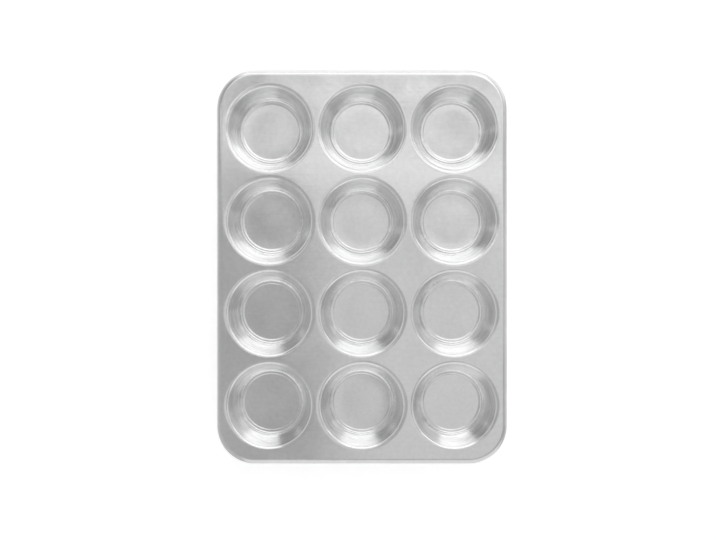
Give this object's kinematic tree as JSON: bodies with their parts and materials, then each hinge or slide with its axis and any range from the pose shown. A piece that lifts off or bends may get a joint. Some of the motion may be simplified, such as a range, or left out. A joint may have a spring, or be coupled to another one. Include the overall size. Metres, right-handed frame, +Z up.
{
  "type": "muffin pan",
  "caption": "Rectangular muffin pan of bare pressed aluminium: a grid of deep tapered round cups in a flat deck, with rounded corners and a rolled rim stiffened by a wire.",
  "frame": {"origin": "centre of the pan in plan, on the plane of the cups' undersides", "axes": "+Z up, out of the cups' mouths; +Y along the four rows, the pan's length; +X along the three columns, its width"},
  "size_m": [0.2646, 0.3584, 0.0328],
  "materials": {
    "bare_aluminium": "satin",
    "galvanised_steel": "satin"
  },
  "bodies": {
    "root": {"pan_sheet": "bare_aluminium", "rim_wire": "galvanised_steel"}
  },
  "joints": []
}
